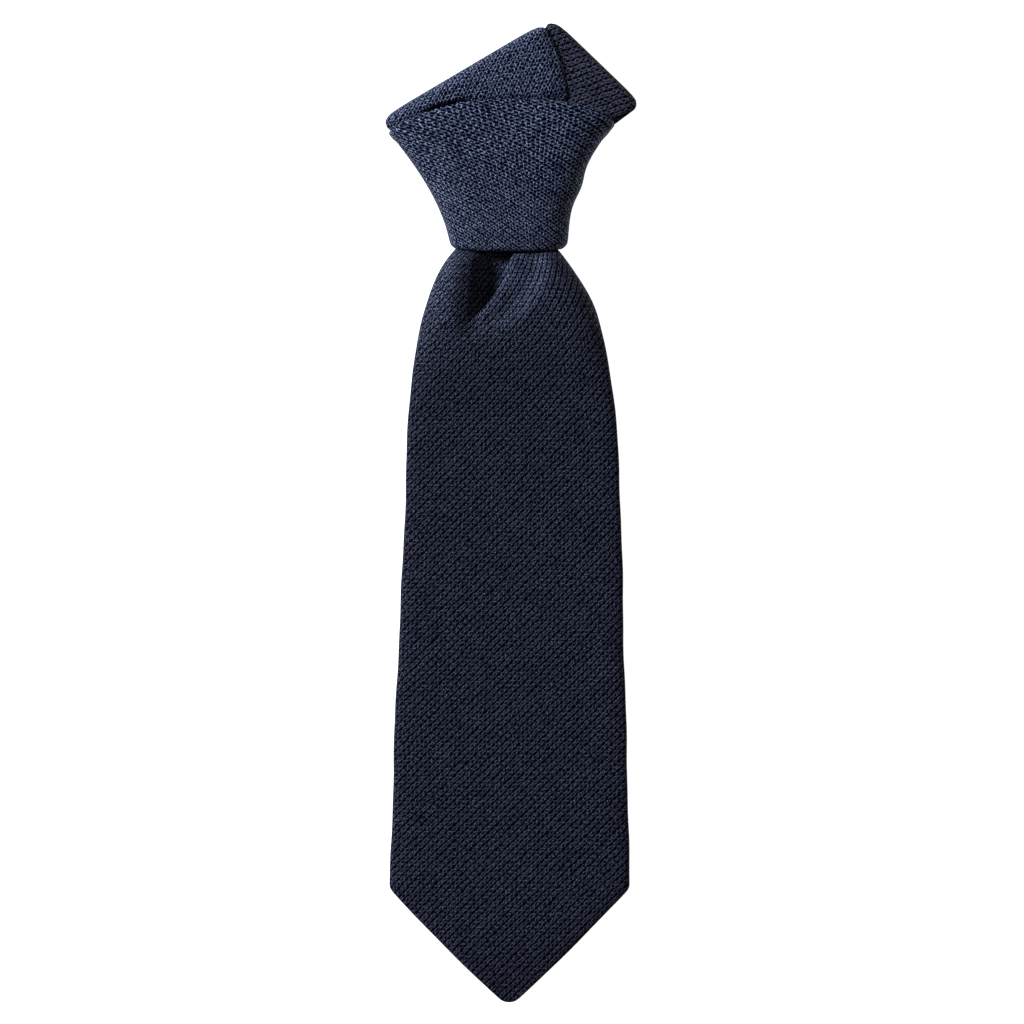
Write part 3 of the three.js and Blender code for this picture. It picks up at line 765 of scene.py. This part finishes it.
def make_blade():
    y = blade_rows(BLADE_TOP_Y + 2)
    wall = np.minimum(SILK_THICK, blade_thickness(y) * 0.3)
    silk = lay_sheath("front_blade_silk", blade_place(y), blade_flat(y), blade_seam(y), blade_thickness(y),
                      BLADE_SILK, columns=(84, 26), squareness=16, wall=wall, relief=blade_relief)
    declare(silk, None, ["front_blade_shell"])
    bend_blade(silk)
    inside = np.linspace(BLADE_TOP_Y - 1, TIP_Y + 7, 120)
    padding = lay_strip("front_blade_wool", blade_place(inside), blade_flat(inside), -0.4, 0.8, WOOL,
                        share=0.93, columns=90, relief=blade_relief)
    declare(padding, None, ["front_blade_interlining"])
    bend_blade(padding)
    under = np.linspace(BAR_TACK_Y + LINING_RISE, TIP_Y + 4, 80)
    lining = lay_strip("front_blade_lining", blade_place(under), blade_flat(under), -0.75, 0.25, LINING,
                       share=0.93, columns=30)
    declare(lining, "blade", ["front_blade_tipping"])


def make_keeper():
    """The loop on the back of the blade: a folded strip of the same silk with tacked ends."""
    x = np.linspace(KEEPER_LOW[0] - AXIS_X, KEEPER_HIGH[0] - AXIS_X, 40)
    level = (KEEPER_LOW[2] + KEEPER_HIGH[2]) / 2 + 0 * x
    route = Route()
    lows = np.stack([x, KEEPER_LOW[1] + 0 * x], axis=-1)
    highs = np.stack([x, KEEPER_HIGH[1] + 0 * x], axis=-1)
    route.run(lows, highs, level, -1)
    silk = lay_sheath("keeper_silk", route.place, route.flat(), 0.04, 0.9, BLADE_SILK, columns=(14, 8),
                      squareness=8, wall=0.2, weave_turn=np.pi / 2)
    declare(silk, "blade", ["keeper_loop"])
    tacks = []
    for side in (-1, 1):
        end = side * (KEEPER_HIGH[0] - AXIS_X)
        low = KEEPER_LOW[2] - 0.28
        for step in range(9):
            y = KEEPER_Y + (step - 4) * 1.35
            tacks.append([(end - side * 2.2, y, low),
                          (end - side * 1.2, y + 0.4, low - 0.12),
                          (end + side * 0.6, y + 0.7, low + 0.2)])
    stitches = add_tubes("keeper_stitches", tacks, 0.16, THREAD)
    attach(stitches, "blade")


def make_tack(name, node, body):
    """A bar tack: a long stitch across the seam, bound over with close wraps of thread."""
    low, high = box_mm(node)
    y = (low[1] + high[1]) / 2
    z = (low[2] + high[2]) / 2
    left, right = low[0] - AXIS_X, high[0] - AXIS_X
    core = [(mix(left, right, t), y + 0.05 * np.sin(9 * t), z) for t in np.linspace(0, 1, 14)]
    wraps = []
    turns = 17
    angle = np.linspace(-0.2 * np.pi, 1.2 * np.pi, 9)
    for step in range(turns):
        x = mix(left + 0.5, right - 0.5, step / (turns - 1))
        wraps.append([(x + 0.05 * a, y + 0.5 * np.cos(a), z - 0.12 - 0.26 * np.sin(a)) for a in angle])
    piece = add_tubes(name, [core, *wraps], 0.15, THREAD)
    declare(piece, body, [node])


def make_slip_stitch(name, node, body, floor_at):
    """The thread that draws the two lips of a sheath together: short slanting stitches."""
    low, high = box_mm(node)
    pitch = 4.5
    paths = []
    for y in np.arange(low[1] + pitch, high[1] - pitch, pitch):
        floor = floor_at(y)
        paths.append([(-0.75, y - 1.1, floor + 0.1),
                      (-0.4, y - 0.5, floor - 0.14),
                      (0.3, y + 0.5, floor - 0.14),
                      (0.75, y + 1.1, floor + 0.1)])
    piece = add_tubes(name, paths, 0.13, THREAD)
    declare(piece, body, [node])
    return piece


# The tail


def tail_half(y):
    spread = ease((60 - y) / (60 - TAIL_TIP_Y - TAIL_POINT_LENGTH))
    return pointed_half(y, TAIL_TIP_Y, TAIL_POINT_RADIUS, mix(TAIL_TOP_WIDTH, TAIL_WIDTH, spread) / 2)


def tail_place(y):
    """The place function of the tail's rows at the heights y."""
    half = tail_half(y)[:, None]
    wave = ripple(y, 0.08, 1.3)[:, None]
    middle = tail_floor(y)[:, None] + TAIL_THICK / 2

    def place(across, height):
        x = across * half + wave * np.abs(across)
        z = middle + height
        return np.stack(np.broadcast_arrays(x, y[:, None] + 0 * x, z), axis=-1)

    return place


def tail_flat(y):
    return np.stack([0 * y, y], axis=-1), np.stack([np.maximum(tail_half(y), 0.5), 0 * y], axis=-1)


def tail_seam(y):
    half = tail_half(y)
    opened = clamp01((TAIL_BAR_TACK_Y - y) / (TAIL_BAR_TACK_Y - TAIL_TIP_Y - TAIL_POINT_LENGTH))
    window = mix(SLIT, np.maximum(half - TAIL_HEM, SLIT), opened)
    return np.minimum(window, np.maximum(half - TAIL_HEM, 0.3)) / np.maximum(half, 0.6)


def tail_thickness(y):
    return TAIL_THICK * np.sqrt(np.maximum(1 - (1 - clamp01((y - TAIL_TIP_Y) / 2)) ** 2, 0.02))


def make_tail():
    body = np.linspace(TAIL_TOP_Y - 8, TAIL_TIP_Y + 2, 150)
    turn = TAIL_TIP_Y + 2 * (1 - np.sin(np.linspace(0, np.pi / 2, 8)))[1:]
    y = np.concatenate([body, np.maximum(turn, TAIL_TIP_Y + 0.02)])
    thick = tail_thickness(y)
    silk = lay_sheath("tail_silk", tail_place(y), tail_flat(y), tail_seam(y), thick, BLADE_SILK,
                      columns=(44, 18), squareness=12, wall=np.minimum(SILK_THICK, thick * 0.3))
    declare(silk, "tail", ["tail_shell"])
    inside = np.linspace(TAIL_TOP_Y - 10, TAIL_TIP_Y + 5, 90)
    padding = lay_strip("tail_wool", tail_place(inside), tail_flat(inside), -0.1, 0.5, WOOL, share=0.92)
    declare(padding, "tail", ["tail_interlining"])
    under = np.linspace(TAIL_BAR_TACK_Y + LINING_RISE, TAIL_TIP_Y + 4, 50)
    lining = lay_strip("tail_lining", tail_place(under), tail_flat(under), -0.6, 0.2, LINING, share=0.92,
                       columns=18)
    declare(lining, "tail", ["tail_tipping"])


# The knot


def ring_section(rows):
    """The wrap seen from its foot: shares to the side and to the front, squarer than a circle."""
    angle = np.linspace(-0.49 * np.pi, 1.49 * np.pi, rows)[:, None]
    aside, above = -np.cos(angle), np.sin(angle)
    power = np.where(above > 0, 0.6, 0.45)
    return np.sign(aside) * np.abs(aside) ** power, np.sign(above) * np.abs(above) ** power


def ring_place(across, height):
    """The wrap around the knot. A row runs from its foot to its top, from behind round the left side."""
    share, rise = ring_section(across.shape[0])
    top_reach = np.where(share < 0, knot_left(KNOT_TOP_Y), knot_right(KNOT_TOP_Y))
    front_top = wrap_top(share * top_reach) - 1.2 * np.abs(share) ** 12
    top = mix(front_top, BACK_WRAP_HIGH[1], ease(-rise * 1.2 + 0.1))
    foot = KNOT_FOOT_Y - 1.2 + 0.8 * np.abs(share) ** 4 + ease(-rise)
    foot += ripple(share * FOOT_HALF, 0.12, 1.9)
    y = mix(foot, top, (across + 1) / 2)
    reach = np.where(share < 0, knot_left(y), knot_right(y)) - WRAP_THICK / 2 + height
    reach += 1.3 * ease((across - 0.8) / 0.2) - 1.5 * clamp01((np.abs(across) - 0.88) / 0.12) ** 2
    crown = 1.3 * (1 - ((y - 112) / 34) ** 2)
    summit = WRAP_HIGH[2] - TAIL_Z - WRAP_THICK / 2 + crown + height
    depth = TAIL_Z - BACK_WRAP_LOW[2] - WRAP_THICK / 2 + height
    z = TAIL_Z + np.where(rise > 0, rise * summit, rise * depth)
    return np.stack([share * reach, y, z], axis=-1)


def ring_flat(rows):
    """The wrap's cloth: distance round the ring, and distance from its foot to its top."""
    edge = np.tile(np.array([[-1.0, 0.0, 1.0]]), (rows, 1))
    points = ring_place(edge, np.zeros_like(edge))
    steps = np.linalg.norm(np.diff(points[:, 1], axis=0), axis=1)
    round_ring = np.concatenate([[0], np.cumsum(steps)])
    round_ring -= round_ring[rows // 2]
    middle = np.stack([round_ring, points[:, 1, 1]], axis=-1)
    half = np.stack([0 * round_ring, (points[:, 2, 1] - points[:, 0, 1]) / 2], axis=-1)
    return middle, half


def make_wrap():
    silk = lay_sheath("knot_wrap_silk", ring_place, ring_flat(190), 0.02, WRAP_THICK, KNOT_SHEEN_SILK,
                      columns=(56, 16), squareness=9, weave_turn=np.radians(106))
    declare(silk, "knot", ["knot_front_wrap_shell", "knot_back_wrap_shell"])
    padding = lay_strip("knot_wrap_wool", ring_place, ring_flat(140), -0.2, 0.5, WOOL, share=0.9)
    nodes = ["knot_front_wrap_interlining", "knot_back_wrap_interlining"]
    declare(padding, "knot", nodes)


def core_route(starts, ends, level, shares):
    """Rows from one edge of a band to the other, at shares of the way from its first place to its last."""
    route = Route()
    share = np.linspace(*shares, 30)[:, None]
    levels = np.full(len(share), level)
    route.run(mix(starts[0], starts[1], share), mix(ends[0], ends[1], share), levels, 1)
    return route


def make_core_band(name, starts, ends, level, relief=None):
    """A flat band inside the knot. Its interlining stops short of the silk's two ends."""
    route = core_route(starts, ends, level, (0, 1))
    width = 2 * route.half_widths().mean()
    silk = lay_sheath(f"{name}_silk", route.place, route.flat(), 0.03, BAND_THICK, KNOT_SHEEN_SILK, relief=relief)
    declare(silk, "knot", [f"{name}_shell"])
    inside = core_route(starts, ends, level, (0.06, 0.94))
    share = 0.88
    padding = lay_strip(f"{name}_wool", inside.place, inside.flat(), -0.2, 0.4, WOOL, share=share)
    declare(padding, "knot", [f"{name}_interlining"])


def passage_swell(x, y, z):
    """The blade's passage fills the knot up to the inside of the wrap."""
    share = clamp01((y - PASSAGE_LOW[1]) / (PASSAGE_HIGH[1] - PASSAGE_LOW[1]))
    return 2.3 * np.sin(np.pi * share), 0 * y


def make_knot_core():
    """The inner wrap runs across the knot, and the blade's passage down through it."""
    inset = 5
    foot, top = INNER_LOW[1] + 1, INNER_HIGH[1]
    feet = np.array([[inset - knot_left(foot), foot], [knot_right(foot) - inset, foot]])
    tops = np.array([[inset - knot_left(top), top], [knot_right(top) - inset, top]])
    make_core_band("knot_inner_wrap", feet, tops, (INNER_LOW[2] + INNER_HIGH[2]) / 2)
    foot_half, top_half = 11, 18
    foot, top = PASSAGE_LOW[1], PASSAGE_HIGH[1]
    left_edge = np.array([[-foot_half, foot], [-top_half, top]])
    right_edge = np.array([[foot_half, foot], [top_half, top]])
    make_core_band("blade_passage", left_edge, right_edge, (PASSAGE_LOW[2] + PASSAGE_HIGH[2]) / 2,
                   relief=passage_swell)


# The neck loop: each side runs from under the wrap up, over its fold, down behind and round the foot


def leg_gather(y):
    """0 where the legs lie side by side, 1 where they lie on each other below the knot."""
    return ease((y - SPREAD_Y) / (KNOT_FOOT_Y - SPREAD_Y))


def left_leg_edges(y):
    centre = mix(-LEG_CENTRE, -0.8, leg_gather(y))
    half = mix(LEG_WIDTH / 2, 16, leg_gather(y))
    low = np.where(y > KNOT_FOOT_Y, np.minimum(2 - knot_left(y), centre - half), centre - half)
    return low, np.where(y > KNOT_FOOT_Y, 17, centre + half)


def right_leg_edges(y):
    centre = mix(LEG_CENTRE, -0.3, leg_gather(y))
    half = mix(LEG_WIDTH / 2, 15.5, leg_gather(y))
    rise = clamp01((y - KNOT_FOOT_Y) / (HINGE_Y - KNOT_FOOT_Y))
    high = np.where(y > KNOT_FOOT_Y, np.maximum(knot_right(y) - 2, centre + half), centre + half)
    return mix(centre - half, -2, rise), high


def foot_climb(y):
    """How a leg's floor rises to the upper layer of the fold at its foot."""
    return LEVEL_STEP * ease((TURN_TOP_Y + CLIMB_START - y) / CLIMB_LENGTH)


def right_leg_floor(y):
    """The right leg also climbs over the left one below the knot."""
    return np.maximum(LEVEL_STEP * ease((y - SPREAD_Y + CLIMB_START) / CLIMB_LENGTH), foot_climb(y))


def add_leg(route, edges, floor, side):
    """The leg behind the tie, the mitred fold at its foot, and its half of the strip between the feet."""
    y = np.linspace(HINGE_Y, TURN_TOP_Y, 120)[1:]
    left, right = edges(y)
    route.run(np.stack([left, y], -1), np.stack([right, y], -1), floor(y) + BAND_THICK / 2, -1)
    left, right = edges(TURN_TOP_Y)
    foot_left, foot_right = (LOOP_FOOT_Y + 1.2 + abs(x) for x in (left, right))
    for share in np.linspace(0, 1, 14)[1:]:
        start = (left, mix(TURN_TOP_Y, foot_left, share))
        end = (right, mix(TURN_TOP_Y, foot_right, share))
        route.add_row(start, end, LEVEL_STEP + BAND_THICK / 2, (0, 0, -1))
    outward = np.array([side, -1]) / np.sqrt(2)
    route.fold(outward, 0.9, LEVEL_STEP, 8)
    overlap = side * -0.05
    for share in np.linspace(0, 1, 10):
        start = (mix(left, overlap, share), foot_left)
        end = (mix(right, overlap, share), foot_right)
        route.add_row(start, end, BAND_THICK / 2, (0, 0, 1))


LEFT_FOLD = np.array([(-43.0, 133.2), (11.2, 165.2)])
LEFT_BAND_INNER_EDGE = [(17, 121), (19.8, 138.8), (17.6, 152), (14.6, 159.2)]
RIGHT_FOLD = np.array([(15.0, 166.6), (44.4, 138.3)])
RIGHT_BAND_INNER_EDGE = [(15.8, 137), (12.0, 152), (10.8, 160.5)]


def outward_of(fold):
    """The plan direction out of the object, square to a fold line that runs from left to right."""
    x, y = (fold[1] - fold[0]) / np.linalg.norm(fold[1] - fold[0])
    return np.array([-y, x])


def add_fold_run(route, fold, reach, left_course, right_course, heights, low, corners):
    """The front run up to a fold line, and the fold over it. Gives the line where the fold starts."""
    outward = outward_of(fold)
    inside = fold - outward * (reach + BAND_THICK / 2)
    steps = 44
    lefts = course([*left_course, inside[0]], steps)
    rights = course([*right_course, inside[1]], steps)
    levels = np.interp(np.linspace(0, 1, steps), *heights)
    route.run(lefts, rights, levels, 1)
    route.fold(outward, reach, levels[-1] - low - BAND_THICK / 2, 16, corners)
    return inside


def add_back_run(route, inside, edges, level):
    """The run behind the knot, from the fold down to the hinge."""
    left, right = edges(HINGE_Y)
    for share in np.linspace(0, 1, 24):
        row_left = mix(inside[0], np.array([left, HINGE_Y]), share)
        row_right = mix(inside[1], np.array([right, HINGE_Y]), share)
        route.add_row(row_left, row_right, level, (0, 0, -1))


def left_side_route():
    route = Route()
    heights = ([0, 0.3, 0.62, 1], [12.0, 13.6, 14.0, 12.6])
    inside = add_fold_run(route, LEFT_FOLD, 2.6, [(-22, 121)], LEFT_BAND_INNER_EDGE, heights,
                          low=LEFT_BAND_LOW[2], corners=(2.2, 1.8))
    add_back_run(route, inside, left_leg_edges, LEFT_BAND_LOW[2] + BAND_THICK / 2)
    add_leg(route, left_leg_edges, foot_climb, -1)
    return route


def right_side_route():
    route = Route()
    heights = ([0, 0.5, 1], [11.0, 11.6, 10.0])
    inside = add_fold_run(route, RIGHT_FOLD, 2.2, RIGHT_BAND_INNER_EDGE, [(33, 132)], heights,
                          low=RIGHT_BAND_LOW[2], corners=(2.6, 1.6))
    add_back_run(route, inside, right_leg_edges, RIGHT_BAND_LOW[2] + BAND_THICK / 2)
    add_leg(route, right_leg_edges, right_leg_floor, 1)
    return route


def make_side(name, route, weave_turn, silk_nodes, wool_nodes, silk_material, relief=None):
    """One side of the neck loop."""
    silk = lay_sheath(f"{name}_silk", route.place, route.flat(), 0.006, BAND_THICK, silk_material,
                      columns=(56, 20), squareness=9, weave_turn=weave_turn, relief=relief)
    declare(silk, None, silk_nodes)
    padding = lay_strip(f"{name}_wool", route.place, route.flat(), -0.1, 0.2, WOOL, share=0.9, columns=60,
                        relief=relief)
    declare(padding, None, wool_nodes)
    for piece in (silk, padding):
        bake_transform(piece)


def band_dip(x, y, z):
    """The left band dips at the knot and thins towards its right edge, but not behind the knot."""
    edge = 19.8 - 5.2 * clamp01((y - 138.8) / 20) ** 1.6
    rounding = 1.1 * ease((x - edge + 6) / 6)
    dip = (mouth_dip(x, y) - rounding) * ease((y - MOUTH_Y) / 4) * ease((z - TAIL_Z) / 3)
    return dip, dip


def make_neck_loop():
    # The left side wears a lit copy of the silk and the right side a shaded copy: painted light and painted
    # shade.
    make_side("left_side", left_side_route(), np.radians(19),
              ["left_neck_band_shell", "left_leg_shell", "neck_turn_shell"],
              ["left_neck_band_interlining", "left_leg_interlining", "neck_turn_interlining"],
              LIT_BAND_SILK, relief=band_dip)
    make_side("right_side", right_side_route(), np.radians(-25),
              ["right_neck_band_shell", "right_leg_shell"],
              ["right_neck_band_interlining", "right_leg_interlining"], SHADED_SILK)


# The studio: the view is FIELD wide at the height FACE_Z. Lights are placed in metres.

FIELD = 344.2
LENS = 250
SENSOR = 36
VIEW_X = AXIS_X + 1.0
VIEW_Y = 0.34
FACE_Z = 13


def make_camera():
    data = bpy.data.cameras.new("camera")
    data.lens = LENS
    data.sensor_width = SENSOR
    data.clip_end = 20
    camera = bpy.data.objects.new("camera", data)
    camera.location = (VIEW_X * MM, VIEW_Y * MM, (FACE_Z + FIELD * LENS / SENSOR) * MM)
    bpy.context.scene.collection.objects.link(camera)
    bpy.context.scene.camera = camera


def make_light(name, place, size, power, colour):
    """A round soft light that faces the object."""
    data = bpy.data.lights.new(name, "AREA")
    data.shape = "DISK"
    data.size = size
    data.energy = power
    data.color = colour
    light = bpy.data.objects.new(name, data)
    light.location = place
    tilt = np.arctan2(np.hypot(place[0], place[1]), place[2])
    light.rotation_euler = (tilt, 0, np.arctan2(place[1], place[0]) + np.pi / 2)
    bpy.context.scene.collection.objects.link(light)


def make_floor():
    mesh = bpy.data.meshes.new("floor")
    reach, level = 4.0, -0.0004
    corners = [(x * reach, y * reach, level) for x, y in ((-1, -1), (1, -1), (1, 1), (-1, 1))]
    mesh.from_pydata(corners, [], [(0, 1, 2, 3)])
    mesh.materials.append(paper_white("white_table"))
    floor = bpy.data.objects.new("floor", mesh)
    bpy.context.scene.collection.objects.link(floor)


def make_studio():
    world = bpy.data.worlds.new("studio")
    world.use_nodes = True
    world.node_tree.nodes["Background"].inputs["Color"].default_value = (1, 1, 1, 1)
    world.node_tree.nodes["Background"].inputs["Strength"].default_value = 0.08
    bpy.context.scene.world = world
    bpy.context.scene.view_settings.view_transform = "Standard"
    make_light("key", (-1.5, 0.8, 1.08), 0.6, 82, (0.84, 0.92, 1))
    make_light("fill", (1.3, 0.2, 1.5), 1.2, 4, (1, 0.88, 0.76))
    make_floor()


make_camera()
make_blade()
make_keeper()
make_tack("front_tack_thread", "front_bar_tack", "blade")
bend_blade(make_slip_stitch("front_stitch_thread", "front_slip_stitch", None, blade_floor))
make_tail()
make_tack("tail_tack_thread", "tail_bar_tack", "tail")
make_slip_stitch("tail_stitch_thread", "tail_slip_stitch", "tail", tail_floor)
make_wrap()
make_knot_core()
make_neck_loop()
make_studio()
